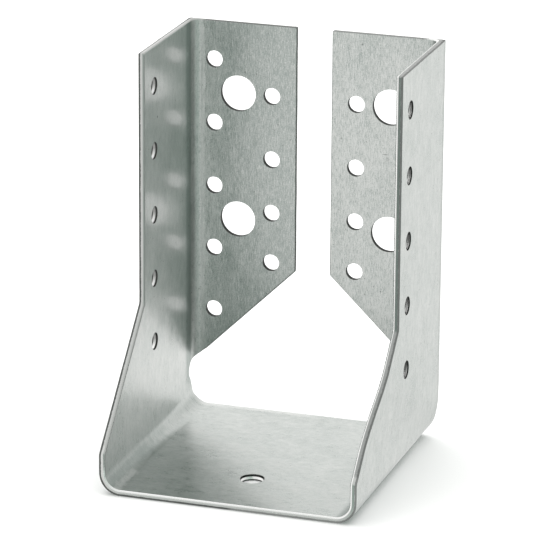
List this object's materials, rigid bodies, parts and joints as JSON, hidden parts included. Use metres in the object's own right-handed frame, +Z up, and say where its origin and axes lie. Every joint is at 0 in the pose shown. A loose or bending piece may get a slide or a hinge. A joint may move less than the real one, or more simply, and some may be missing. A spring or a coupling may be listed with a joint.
{
  "type": "joist hanger",
  "caption": "Joist hanger folded from galvanised sheet steel: flat seat, slanted side plates, and inward back flanges punched for nails and bolts.",
  "frame": {"origin": "centre of the bounding box's underside, on the underside of the seat and midway between the side plates", "axes": "+Y from the open front edge to the header face, +Z up from the seat to the top edges, X across the timber"},
  "size_m": [0.08, 0.08, 0.124],
  "materials": {
    "galvanised_steel": "hot-dip galvanised sheet, semi-gloss, with fine rolling grain"
  },
  "bodies": {
    "root": {"hanger": "galvanised_steel"}
  },
  "joints": []
}
